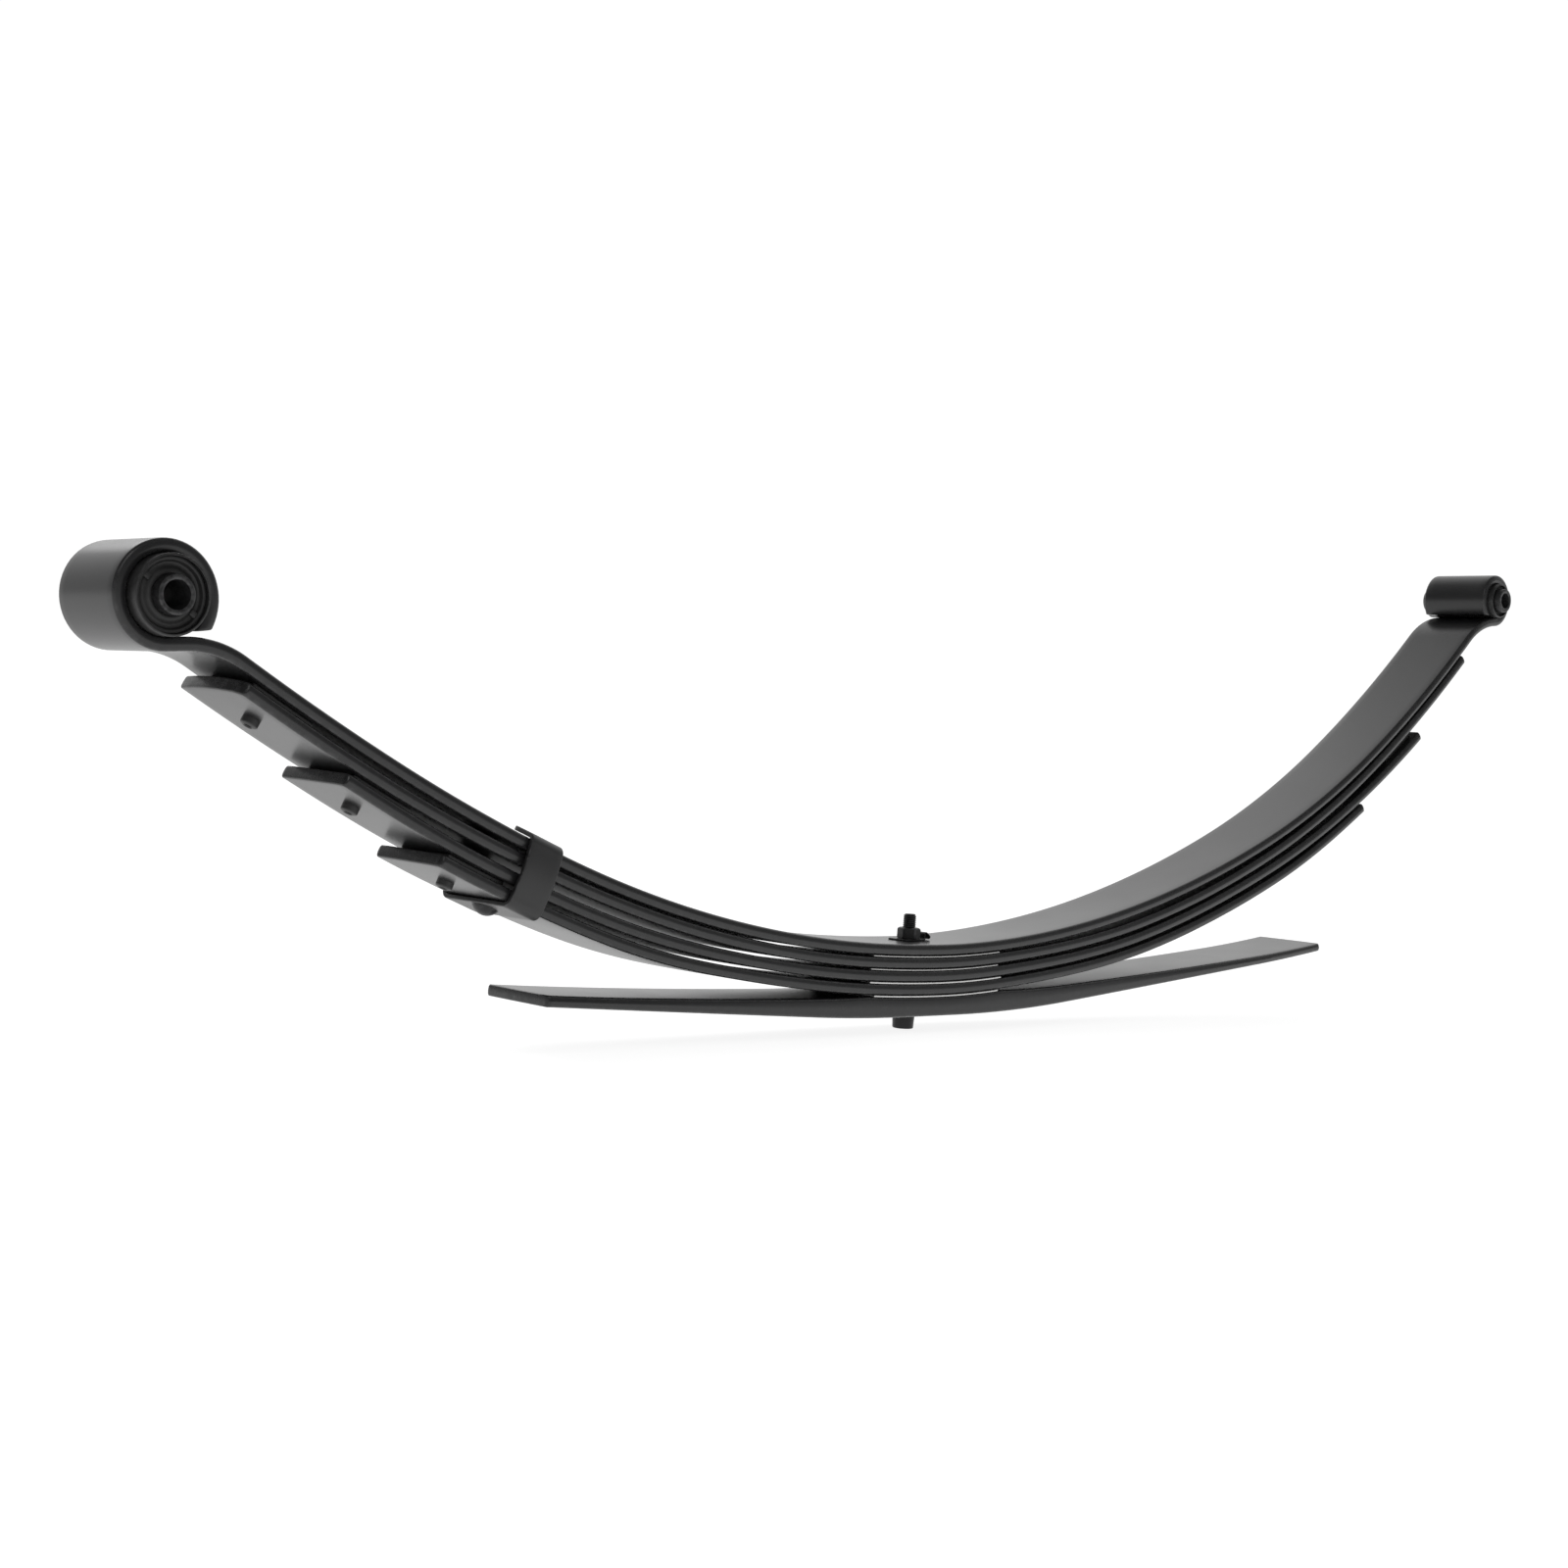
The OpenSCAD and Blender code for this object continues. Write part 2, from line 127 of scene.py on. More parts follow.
def on_arm(side, s, height):
    """Side view point and rise angle at distance s from the bolt, height above the main leaf's middle."""
    x, z, a = walk(ARMS[side], s)
    return side * (x - height * sin(a)), MAIN_MID + z + height * cos(a), a


def eye_centre(side):
    """Side view point at the middle of an eye."""
    x, z, _ = on_arm(side, TIPS[side][0], EYE_R[side] + LEAF_T / 2)
    return x, z


def station(side, s, height):
    """Matrix, in metres, of a frame on the leaf pack whose Z is the leaf's normal and X runs rearward."""
    x, z, a = on_arm(side, s, height)
    return Matrix.Translation((x * MM, 0, z * MM)) @ Matrix.Rotation(-side * a, 4, "Y")


# ---------------------------------------------------------------- building meshes
def to_m(p):
    """Point in mm to a vector in metres."""
    return Vector((p[0] * MM, p[1] * MM, p[2] * MM))


def finish_piece(name, verts, faces, finish, slot, *nodes, body=PACK, wear_and_sheen=None, sharp=32):
    """Mesh object from points in mm, with its finish and how much edge wear and painted edge highlight each
    point carries; the slot argument is not used.
    """
    mesh = bpy.data.meshes.new(name)
    mesh.from_pydata([to_m(v) for v in verts], [], faces)
    shell = bmesh.new()
    shell.from_mesh(mesh)
    bmesh.ops.recalc_face_normals(shell, faces=shell.faces)
    shell.to_mesh(mesh)
    shell.free()
    for face in mesh.polygons:
        face.use_smooth = True
    mesh.set_sharp_from_angle(angle=radians(sharp))
    # edge mask: where the finishes show edge wear and pooled paint, and where they paint a lighter edge
    # highlight
    edge = mesh.attributes.new("edge_wear_and_sheen", "FLOAT", "POINT")
    edge.data.foreach_set("value", wear_and_sheen or [0.0] * len(verts))
    mesh.materials.append(finish)
    piece = bpy.data.objects.new(name, mesh)
    bpy.context.scene.collection.objects.link(piece)
    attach(piece, body)
    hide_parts(*nodes)
    return piece


def bar_profile(width, radius, crown=0.0, bays=10):
    """Upper half of a bar's section, as (across, inset from the face, edge wear and painted highlight), from
    its left side round to its right one."""
    half = width / 2
    left = [(-half, None, 0.15)]
    steps = 6
    for i in range(steps + 1):
        turn = pi / 2 * i / steps
        left.append((-half + crown + radius * (1 - cos(turn)), radius * (1 - sin(turn)), sin(2 * turn)))
    flat = [(-half + crown + radius + (width - 2 * radius - 2 * crown) * i / bays, 0.0, 0.0)
            for i in range(1, bays)]
    right = [(-y, inset, wear_sheen) for y, inset, wear_sheen in reversed(left)]
    return left + flat + right


def bar_row(profile, thickness, place, shrink=0.0):
    """One ring of points round a bar: its upper half from left to right, then its lower half back."""
    half = thickness / 2
    upper, wear_sheen = [], []
    for y, inset, wear_and_sheen in profile:
        h = half * 0.2 if inset is None else half - inset
        scale_h = (half - shrink) / half
        y = y - shrink if y > 0 else y + shrink
        upper.append((y, h * scale_h))
        wear_sheen.append(max(wear_and_sheen, min(1.0, shrink * 2)))
    ring = [place(y, h) for y, h in upper] + [place(y, -h) for y, h in reversed(upper)]
    return ring, wear_sheen + list(reversed(wear_sheen))


def skin(rows):
    """Points, faces and edge wear with painted highlight of a closed bar from its rings; the ends are closed
    by strips across.
    """
    verts, wear_and_sheen, faces = [], [], []
    n = len(rows[0][0])
    for ring, wear_sheen in rows:
        verts += ring
        wear_and_sheen += wear_sheen
    for i in range(len(rows) - 1):
        for j in range(n):
            k = (j + 1) % n
            faces.append((i * n + j, i * n + k, (i + 1) * n + k, (i + 1) * n + j))
    for start in (0, (len(rows) - 1) * n):
        for j in range(n // 2 - 1):
            faces.append((start + j, start + j + 1, start + n - 2 - j, start + n - 1 - j))
    return verts, faces, wear_and_sheen


def end_steps(radius, count=4):
    """(distance back from the end, how far the section shrinks) round a bar end's edge."""
    return [(radius * (1 - sin(pi / 2 * i / count)), radius * (1 - cos(pi / 2 * i / count)))
            for i in range(count + 1)]


def spaced(start, stop, pitch):
    """Even values from start to stop, about pitch apart."""
    n = max(1, round(abs(stop - start) / pitch))
    return [start + (stop - start) * i / n for i in range(n + 1)]


def lathe(profile, matrix, segments=96, wave=None):
    """Closed profile of (radius, height, edge wear and painted highlight) turned about Z, then placed by a
    matrix in metres.
    """
    verts, wear_and_sheen, faces = [], [], []
    n = len(profile)
    for i in range(segments):
        turn = 2 * pi * i / segments
        for r, z, wear_sheen in profile:
            rr = r + (wave(turn, r, z) if wave else 0.0)
            p = matrix @ Vector((rr * cos(turn) * MM, rr * sin(turn) * MM, z * MM))
            verts.append(tuple(p / MM))
            wear_and_sheen.append(wear_sheen)
    for i in range(segments):
        a, b = i * n, ((i + 1) % segments) * n
        for j in range(n):
            k = (j + 1) % n
            faces.append((a + j, a + k, b + k, b + j))
    return verts, faces, wear_and_sheen


def rounded(corners, steps=4):
    """Profile with its corners rounded: corners are (radius, height, fillet)."""
    out = []
    n = len(corners)
    for i, (r, z, fillet) in enumerate(corners):
        before, after = corners[i - 1], corners[(i + 1) % n]
        if fillet <= 0:
            out.append((r, z, 0.3))
            continue
        d0 = Vector((before[0] - r, before[1] - z)).normalized()
        d1 = Vector((after[0] - r, after[1] - z)).normalized()
        opening = d0.angle(d1) / 2
        back = fillet / tan(opening)
        centre = Vector((r, z)) + (d0 + d1).normalized() * (fillet / sin(opening))
        p0, p1 = Vector((r, z)) + d0 * back - centre, Vector((r, z)) + d1 * back - centre
        for j in range(steps + 1):
            v = p0.slerp(p1, j / steps)
            out.append((centre.x + v.x, centre.y + v.y, 1.0 - abs(2 * j / steps - 1)))
    return out


# ---------------------------------------------------------------- finishes
class Wire:
    """A shader socket that can be used in ordinary sums; each sum adds its Math node."""

    def __init__(self, tree, socket):
        self.tree, self.socket = tree, socket

    def sum_with(self, operation, first, second):
        node = self.tree.nodes.new("ShaderNodeMath")
        node.operation = operation
        for slot, value in zip(node.inputs, (first, second)):
            if isinstance(value, Wire):
                self.tree.links.new(value.socket, slot)
            elif value is not None:
                slot.default_value = value
        return Wire(self.tree, node.outputs[0])

    def __add__(self, other):
        return self.sum_with("ADD", self, other)

    def __radd__(self, other):
        return self.sum_with("ADD", other, self)

    def __sub__(self, other):
        return self.sum_with("SUBTRACT", self, other)

    def __rsub__(self, other):
        return self.sum_with("SUBTRACT", other, self)

    def __mul__(self, other):
        return self.sum_with("MULTIPLY", self, other)

    def __rmul__(self, other):
        return self.sum_with("MULTIPLY", other, self)


class Finish:
    """A material for one of the spring's finishes."""

    def __init__(self, name):
        self.material = bpy.data.materials.new(name)
        self.material.use_nodes = True
        self.tree = self.material.node_tree
        self.tree.nodes.clear()

    def node(self, kind, settings=None, out=0, **inputs):
        """Any node: its type, its settings, then the values or links of its sockets."""
        node = self.tree.nodes.new(kind)
        for key, value in (settings or {}).items():
            setattr(node, key, value)
        for key, value in inputs.items():
            numbered = key[0] == "i" and key[1:].isdigit()
            socket = node.inputs[int(key[1:]) if numbered else key.replace("_", " ")]
            if isinstance(value, Wire):
                self.tree.links.new(value.socket, socket)
            else:
                socket.default_value = value
        return Wire(self.tree, node.outputs[out])

    def place(self, stretch=(1, 1, 1)):
        """Where a point of the spring is, stretched along each axis."""
        at = self.node("ShaderNodeTexCoord", out=3)
        return self.node("ShaderNodeMapping", Vector=at, Scale=stretch)

    def grain(self, size_mm, stretch=(1, 1, 1), detail=3.0, rough=0.55):
        """Noise from 0 to 1 whose lumps are about size_mm across."""
        return self.node("ShaderNodeTexNoise", Vector=self.place(stretch), Scale=1000.0 / size_mm,
                         Detail=detail, Roughness=rough)

    def steps(self, value, low, high):
        """0 below low, 1 above high, smooth between."""
        return self.node("ShaderNodeMapRange", {"interpolation_type": "SMOOTHSTEP"}, Value=value,
                         From_Min=low, From_Max=high)

    def edge(self):
        """How much edge wear and painted edge highlight each point of the mesh carries."""
        return self.node("ShaderNodeAttribute", {"attribute_name": "edge_wear_and_sheen"}, out=2)

    def tone(self, factor, a, b):
        """Colour between a and b."""
        start = a if isinstance(a, Wire) else (*a, 1)
        return self.node("ShaderNodeMix", {"data_type": "RGBA"}, out=2, i0=factor, i6=start, i7=(*b, 1))

    def bump(self, height, depth_mm, strength=1.0):
        """Relief depth_mm deep that follows a height from 0 to 1."""
        return self.node("ShaderNodeBump", Height=height, Distance=depth_mm * MM, Strength=strength)

    def output(self, shader):
        """Ends the material at a shader."""
        out = self.tree.nodes.new("ShaderNodeOutputMaterial")
        self.tree.links.new(shader.socket, out.inputs["Surface"])
        return self.material

    def surface(self, colour, roughness, normal, **fixed):
        """Principled surface with a varying colour, roughness and normal."""
        return self.output(self.node("ShaderNodeBsdfPrincipled", Base_Color=colour, Roughness=roughness,
                                     Normal=normal, **fixed))


def leaf_coat():
    """Semi-gloss black coating over shot-peened spring steel."""
    f = Finish("leaf_coat")
    peened = f.grain(1.4, detail=4)
    cloud = f.grain(70, detail=2)
    speck = f.steps(f.grain(0.8, detail=1), 0.66, 0.78)
    # Painted highlight and edge wear: the coat is painted lighter in noisy patches along the rounded edges,
    # partly as rubbed paint, partly standing in for the edges' highlights.
    rub_and_sheen = f.edge() * f.steps(f.grain(5), 0.42, 0.66)
    colour = f.tone(cloud, (0.009, 0.009, 0.0095), (0.013, 0.013, 0.0135))
    colour = f.tone(rub_and_sheen * 0.5, colour, (0.045, 0.045, 0.047))
    rough = 0.26 + cloud * 0.08 + speck * 0.08 - rub_and_sheen * 0.1
    pooled = f.edge() * f.grain(3.5, detail=2)
    return f.surface(colour, rough, f.bump(peened * 0.6 + speck * 0.4 + pooled, 0.04, 0.5))


def bare_zinc():
    """Bright zinc-grey sheet, rolled along the spring."""
    f = Finish("bare_zinc")
    rolled = f.grain(0.6, (0.08, 1, 1), detail=4)
    cloud = f.grain(12)
    colour = f.tone(cloud, (0.58, 0.58, 0.57), (0.74, 0.74, 0.73))
    rough = 0.28 + rolled * 0.16 + cloud * 0.06
    return f.surface(colour, rough, f.bump(rolled, 0.02, 0.5), Metallic=1.0)


def oxide_black():
    """Black oxide on the bolt, nut, lock plate and rivet."""
    f = Finish("oxide_black")
    grit = f.grain(0.5, detail=4)
    cloud = f.grain(6)
    # Painted highlight and edge wear: the oxide is painted lighter in noisy patches on edges and nut corners,
    # partly as rubbed oxide, partly standing in for edge highlights.
    rub_and_sheen = f.edge() * f.steps(cloud, 0.4, 0.65)
    colour = f.tone(cloud, (0.008, 0.008, 0.0085), (0.016, 0.016, 0.0165))
    colour = f.tone(rub_and_sheen * 0.6, colour, (0.09, 0.09, 0.095))
    rough = 0.36 + grit * 0.14 - rub_and_sheen * 0.08
    return f.surface(colour, rough, f.bump(grit, 0.02, 0.5), Metallic=0.35)


def strap_coat():
    """Satin black coating on the clip's drawn strap."""
    f = Finish("strap_coat")
    drawn = f.grain(0.9, (1, 1, 0.1), detail=4)
    cloud = f.grain(18)
    # Painted highlight and edge wear: the strap is painted lighter in noisy patches along its edges, partly
    # as rubbed coating, partly standing in for edge highlights.
    rub_and_sheen = f.edge() * f.steps(f.grain(3), 0.45, 0.65)
    colour = f.tone(cloud, (0.012, 0.012, 0.0125), (0.018, 0.018, 0.0185))
    colour = f.tone(rub_and_sheen * 0.5, colour, (0.085, 0.085, 0.088))
    rough = 0.34 + drawn * 0.1
    return f.surface(colour, rough, f.bump(drawn, 0.03, 0.5))


def pad_nylon():
    """Moulded black plastic of the tip pads."""
    f = Finish("pad_nylon")
    grain = f.grain(0.35, detail=2)
    cloud = f.grain(9)
    colour = f.tone(cloud, (0.016, 0.016, 0.016), (0.024, 0.024, 0.024))
    return f.surface(colour, 0.42 + grain * 0.12, f.bump(grain, 0.015, 0.4))


def bush_coat():
    """Satin black on the bushes' pressed shells."""
    f = Finish("bush_coat")
    grit = f.grain(0.7, detail=4)
    # Painted highlight and edge wear: the shell is painted lighter in noisy patches on its rounded rims,
    # partly as rubbed coating, partly standing in for rim highlights.
    rub_and_sheen = f.edge() * f.steps(f.grain(4), 0.4, 0.6)
    colour = f.tone(f.grain(10), (0.009, 0.009, 0.009), (0.015, 0.015, 0.015))
    colour = f.tone(rub_and_sheen * 0.25, colour, (0.06, 0.06, 0.062))
    return f.surface(colour, 0.34 + grit * 0.12 - rub_and_sheen * 0.06, f.bump(grit, 0.03, 0.5))


def moulded_rubber():
    """Black rubber with the fine skin of its mould."""
    f = Finish("moulded_rubber")
    skin_grain = f.grain(0.45, detail=3)
    bloom = f.grain(7, detail=3)
    colour = f.tone(f.steps(bloom, 0.35, 0.7), (0.008, 0.008, 0.008), (0.015, 0.015, 0.015))
    return f.surface(colour, 0.46 + bloom * 0.14 + skin_grain * 0.06, f.bump(skin_grain, 0.03, 0.5))


def sleeve_coat():
    """Thin black coating on the turned inner sleeves, painted lighter on their rims, partly as rubbed
    coating, partly as painted highlight.
    """
    f = Finish("sleeve_coat")
    turned = f.grain(0.4, (1, 0.15, 1), detail=3)
    # Painted highlight and edge wear: the rims are painted lighter in noisy patches, partly as rubbed
    # coating, partly standing in for rim highlights.
    rub_and_sheen = f.edge() * f.steps(f.grain(2.5), 0.38, 0.62)
    colour = f.tone(f.grain(8), (0.010, 0.010, 0.0105), (0.018, 0.018, 0.0185))
    colour = f.tone(rub_and_sheen * 0.6, colour, (0.07, 0.07, 0.072))
    return f.surface(colour, 0.38 + turned * 0.1 - rub_and_sheen * 0.08, f.bump(turned, 0.02, 0.5), Metallic=0.3)


LEAF, ZINC, OXIDE, STRAP = leaf_coat(), bare_zinc(), oxide_black(), strap_coat()
NYLON, SHELL, RUBBER, SLEEVE = pad_nylon(), bush_coat(), moulded_rubber(), sleeve_coat()

# ---------------------------------------------------------------- the leaves
MILL_RADIUS = 2.3   # rounding of a rolled bar's edges
PITCH = 6.0         # between the rings of a leaf's mesh


def leaf_place(side, s, centre_height, shape=None):
    """Point finder for one station of a plain leaf; shape shifts it along the leaf, by how far across."""
    def place(y, h):
        ss = s + shape(y) if shape else s
        x, z, _ = on_arm(side, ss, centre_height(ss) + h)
        return x, y, z
    return place


def tip_shape(bow, skew, near_clip, far_clip):
    """How far a leaf's end stands out at each point across: bowed, sheared a little askew, with its two
    corners clipped, each by (how far back, how far in)."""
    half = LEAF_WIDTH / 2

    def shape(y):
        out = bow * (1 - (y / half) ** 2) + skew * (y + half) / LEAF_WIDTH
        back, reach = near_clip if y < 0 else far_clip
        return out - back * max(0.0, abs(y) - (half - reach)) / reach
    return shape


def leaf(number, name, shapes):
    """A plain leaf under the main one, its two ends shaped."""
    profile = bar_profile(LEAF_WIDTH, MILL_RADIUS, 0.25)
    rows = []
    for side in (FRONT, REAR):
        tip = TIPS[side][number - 1]
        middle = lambda s, side=side: -top_depth(number, side, s) - LEAF_T / 2
        shape = shapes[side]
        part = []
        for back, shrink in reversed(end_steps(1.1)):
            part.append((tip - back, shrink, 1.0))
        for back in (3, 6, 10, 15):
            part.append((tip - back, 0.0, 1.0 - back / 18))
        part.sort(key=lambda row: -row[0])
        for s in spaced(tip - 18, 0 if side == FRONT else PITCH, PITCH):
            part.append((s, 0.0, 0.0))
        built = []
        for s, shrink, weight in part:
            bend = (lambda y, w=weight: shape(y) * w) if weight else None
            built.append(bar_row(profile, LEAF_T, leaf_place(side, s, middle, bend), shrink))
        rows += built if side == FRONT else list(reversed(built))
    verts, faces, wear_and_sheen = skin(rows)
    return finish_piece(name, verts, faces, LEAF, "leaf_black", name, wear_and_sheen=wear_and_sheen)


def wrap_rows(side, profile):
    """Rings of an eye's wrap, from its free end round to the leaf's tip."""
    r = EYE_R[side]
    cx, cz = eye_centre(side)
    _, _, tilt = on_arm(side, TIPS[side][0], 0)
    out = Vector((side * cos(tilt), sin(tilt)))
    up = Vector((-side * sin(tilt), cos(tilt)))
    height = r - WRAP_STOP

    def free_end(rho, y):
        """Turn at which the sheared free end stops, a little ragged across the leaf."""
        ragged = 0.35 * sin(y * 1.9) + 0.25 * sin(y * 0.83 + 1.0)
        rise = height - 0.1 * (rho - r) - (0.12 * ragged)
        return 2 * pi - acos(min(1.0, rise / rho))

    rows = []
    turns = [(1.0, back, shrink) for back, shrink in reversed(end_steps(0.7, 3))]
    turns += [(1.0 - i / WRAP_STEPS, 0.0, 0.0) for i in range(1, WRAP_STEPS)]
    for part, back, shrink in turns:
        def place(y, h, part=part, back=back):
            spread = WRAP_SPREAD[side] * max(0.0, (part - 0.5) / 0.5) ** 1.3
            rho = r + LEAF_T / 2 - h + spread
            settle = max(0.0, (part - 0.55) / 0.45) ** 1.5
            plain = 2 * pi - acos(min(1.0, height / (r + LEAF_T / 2)))
            turn = part * (plain + (free_end(rho, y) - plain) * settle) - back / rho
            p = Vector((cx, cz)) + out * rho * sin(turn) - up * rho * cos(turn)
            return p.x, y, p.y
        rows.append(bar_row(profile, LEAF_T, place, shrink))
    return rows


def main_leaf():
    """The main leaf and its two wrapped eyes, as one bar."""
    profile = bar_profile(LEAF_WIDTH, MILL_RADIUS, 0.25)
    rows = wrap_rows(FRONT, profile)
    middle = lambda s: 0.0
    for side in (FRONT, REAR):
        tip = TIPS[side][0]
        built = [bar_row(profile, LEAF_T, leaf_place(side, s, middle))
                 for s in spaced(tip, tip - 66, 3) + spaced(tip - 70, 0 if side == FRONT else PITCH, PITCH)]
        rows += built if side == FRONT else list(reversed(built))
    rows += list(reversed(wrap_rows(REAR, profile)))
    verts, faces, wear_and_sheen = skin(rows)
    return finish_piece("main_leaf", verts, faces, LEAF, "leaf_black", "main_leaf", wear_and_sheen=wear_and_sheen)


def overload_faces(side, s):
    """Bottom and top points of the overload leaf in side view, at distance s from the bolt."""
    arm = OVERLOAD_ARMS[side]
    end = arm[-1][0]
    x, z, a = walk(arm, s)
    root_top = Vector(on_arm(side, SEAT_HALF, -top_depth(4, side, SEAT_HALF) - LEAF_T - SEAT_GAP)[:2])
    if s <= SEAT_HALF:
        p = on_arm(side, s, -top_depth(4, side, s) - LEAF_T - SEAT_GAP)
        return Vector((side * x, z)), Vector((p[0], p[1]))
    root = root_top.y - walk(arm, SEAT_HALF)[1]
    t = min(1.0, (s - SEAT_HALF) / (end - SEAT_HALF))
    thick = OVERLOAD_TIP[side] + (root - OVERLOAD_TIP[side]) * (1 - t) ** OVERLOAD_TAPER
    return Vector((side * x, z)), Vector((side * (x - thick * sin(a)), z + thick * cos(a)))


def overload_leaf():
    """The thick bottom leaf, which thins toward both ends."""
    profile = bar_profile(LEAF_WIDTH, MILL_RADIUS, 0.35)
    rows = []
    for side in (FRONT, REAR):
        end = OVERLOAD_ARMS[side][-1][0]
        shape = tip_shape(0.6, 0.0, (1.6, 3.0), (0.8, 2.0))
        part = [(end - back, shrink, 1.0) for back, shrink in reversed(end_steps(1.2))]
        part += [(end - back, 0.0, 1.0 - back / 15) for back in (3, 6, 10)]
        part += [(s, 0.0, 0.0) for s in spaced(end - 15, SEAT_HALF + 12, PITCH)
                 + spaced(SEAT_HALF, 0 if side == FRONT else PITCH, PITCH)]
        built = []
        for s, shrink, weight in part:
            def place(y, h, s=s, weight=weight):
                low, high = overload_faces(side, s + shape(y) * weight)
                p = low + (high - low) * (0.5 + h / (high - low).length)
                return p.x, y, p.y
            low, high = overload_faces(side, s)
            built.append(bar_row(profile, (high - low).length, place, shrink))
        rows += built if side == FRONT else list(reversed(built))
    verts, faces, wear_and_sheen = skin(rows)
    return finish_piece("overload_leaf", verts, faces, LEAF, "leaf_black", "overload_leaf", wear_and_sheen=wear_and_sheen)


SPACER_T = {1: 0.65, 2: 0.65, 3: 1.05, 4: 1.05}


def spacer(number, front_end, rear_end):
    """Zinc plate under a leaf at the seat, cut a little long or short at each end."""
    thick = SPACER_T[number]
    profile = bar_profile(LEAF_WIDTH - 0.3, 0.2)
    rows = []
    for side, end in ((FRONT, front_end), (REAR, rear_end)):
        middle = lambda s, side=side: -top_depth(number, side, s) - LEAF_T - SEAT_GAP / 2
        built = [bar_row(profile, thick, leaf_place(side, s, middle), shrink)
                 for s, shrink in [(end, 0.2), (end - 0.25, 0.0)]
                 + [(s, 0.0) for s in spaced(end - 4, 0 if side == FRONT else PITCH, PITCH)]]
        rows += built if side == FRONT else list(reversed(built))
    verts, faces, wear_and_sheen = skin(rows)
    name = "centre_spacer_%d" % number
    return finish_piece(name, verts, faces, ZINC, "spacer_zinc", name, wear_and_sheen=wear_and_sheen)


# ---------------------------------------------------------------- centre bolt, nut and lock plate
BOLT_R = 4.76
BOLT_TOP = PACK_TOP + 19.3
THREAD_PITCH, THREAD_DEPTH, THREAD_CREST = 1.4, 0.7, 0.4
NUT_FLATS, NUT_HEIGHT, NUT_TURN = 15.2, 8.0, radians(16)
WASHER_T = 1.2
WASHER_SEAT = PACK_TOP + 0.12
NUT_SEAT = WASHER_SEAT + WASHER_T + 0.05
HEAD_R, HEAD_H = 7.6, 12.4


def centre_bolt():
    """Round head under the seat, plain shank through the leaves, thread above."""
    thread_from = PACK_TOP - 2
    lower = rounded([(0.001, -HEAD_H, 0), (HEAD_R, -HEAD_H, 1.0), (HEAD_R, -0.05, 0.3),
                     (BOLT_R, -0.05, 0), (BOLT_R, thread_from, 0)])
    count = 150
    crest = []
    for i in range(count + 1):
        z = thread_from + (BOLT_TOP - thread_from) * i / count
        chamfer = max(0.0, z - (BOLT_TOP - 1.3))
        crest.append((BOLT_R - 0.05 - 0.75 * chamfer, z, 0.4))
    profile = lower + crest + [(2.6, BOLT_TOP, 0.2), (0.001, BOLT_TOP, 0.0)]

    def thread(turn, r, z):
        if z < thread_from + 0.2 or z > BOLT_TOP - 0.05 or r <= BOLT_R - 0.9:
            return 0.0
        phase = (z / THREAD_PITCH - turn / (2 * pi)) % 1.0
        depth = abs(2 * phase - 1)
        return -THREAD_DEPTH * max(0.0, depth - THREAD_CREST) / (1 - THREAD_CREST)

    verts, faces, wear_and_sheen = lathe(profile, Matrix(), 72, thread)
    return finish_piece("centre_bolt", verts, faces, OXIDE, "fastener_black", "centre_bolt", wear_and_sheen=wear_and_sheen)


def centre_nut():
    """Hexagon nut: corners chamfered top and bottom by a cone, a countersunk bore."""
    corner_r = NUT_FLATS / 2 / cos(pi / 6)
    levels = [(0.0, 0.9), (0.35, 0.3), (0.8, 0.0), (NUT_HEIGHT / 2, 0.0), (NUT_HEIGHT - 1.3, 0.0),
              (NUT_HEIGHT - 0.55, 0.55), (NUT_HEIGHT, 1.35)]
    bore = [(BOLT_R + 1.1, NUT_HEIGHT), (BOLT_R + 0.1, NUT_HEIGHT - 0.9), (BOLT_R + 0.1, NUT_HEIGHT / 2),
            (BOLT_R + 0.1, 0.9), (BOLT_R + 1.1, 0.0)]
    segments = 96
    verts, wear_and_sheen, faces = [], [], []
    ring = len(levels) + len(bore)
    for i in range(segments):
        turn = 2 * pi * i / segments
        flat_r = NUT_FLATS / 2 / cos((turn % (pi / 3)) - pi / 6)
        turn += NUT_TURN
        for z, cut in levels:
            r = min(flat_r, corner_r - 0.22 - cut * 1.1)
            verts.append((r * cos(turn), r * sin(turn), NUT_SEAT + z))
            wear_and_sheen.append(1.0 if flat_r > corner_r - 0.35 else (0.7 if cut > 0.2 else 0.0))
        for r, z in bore:
            verts.append((r * cos(turn), r * sin(turn), NUT_SEAT + z))
            wear_and_sheen.append(0.3)
    for i in range(segments):
        a, b = i * ring, ((i + 1) % segments) * ring
        for j in range(ring):
            k = (j + 1) % ring
            faces.append((a + j, a + k, b + k, b + j))
    return finish_piece("centre_nut", verts, faces, OXIDE, "fastener_black", "centre_nut", wear_and_sheen=wear_and_sheen,
                        sharp=25)


TAB_FOLD, TAB_BEND, TAB_UP, TAB_DROOP, TAB_TONGUE = 10.4, 1.4, 2.2, -36, 7.0
TAB_FRONT, TAB_WIDTH = 14.5, 16.0


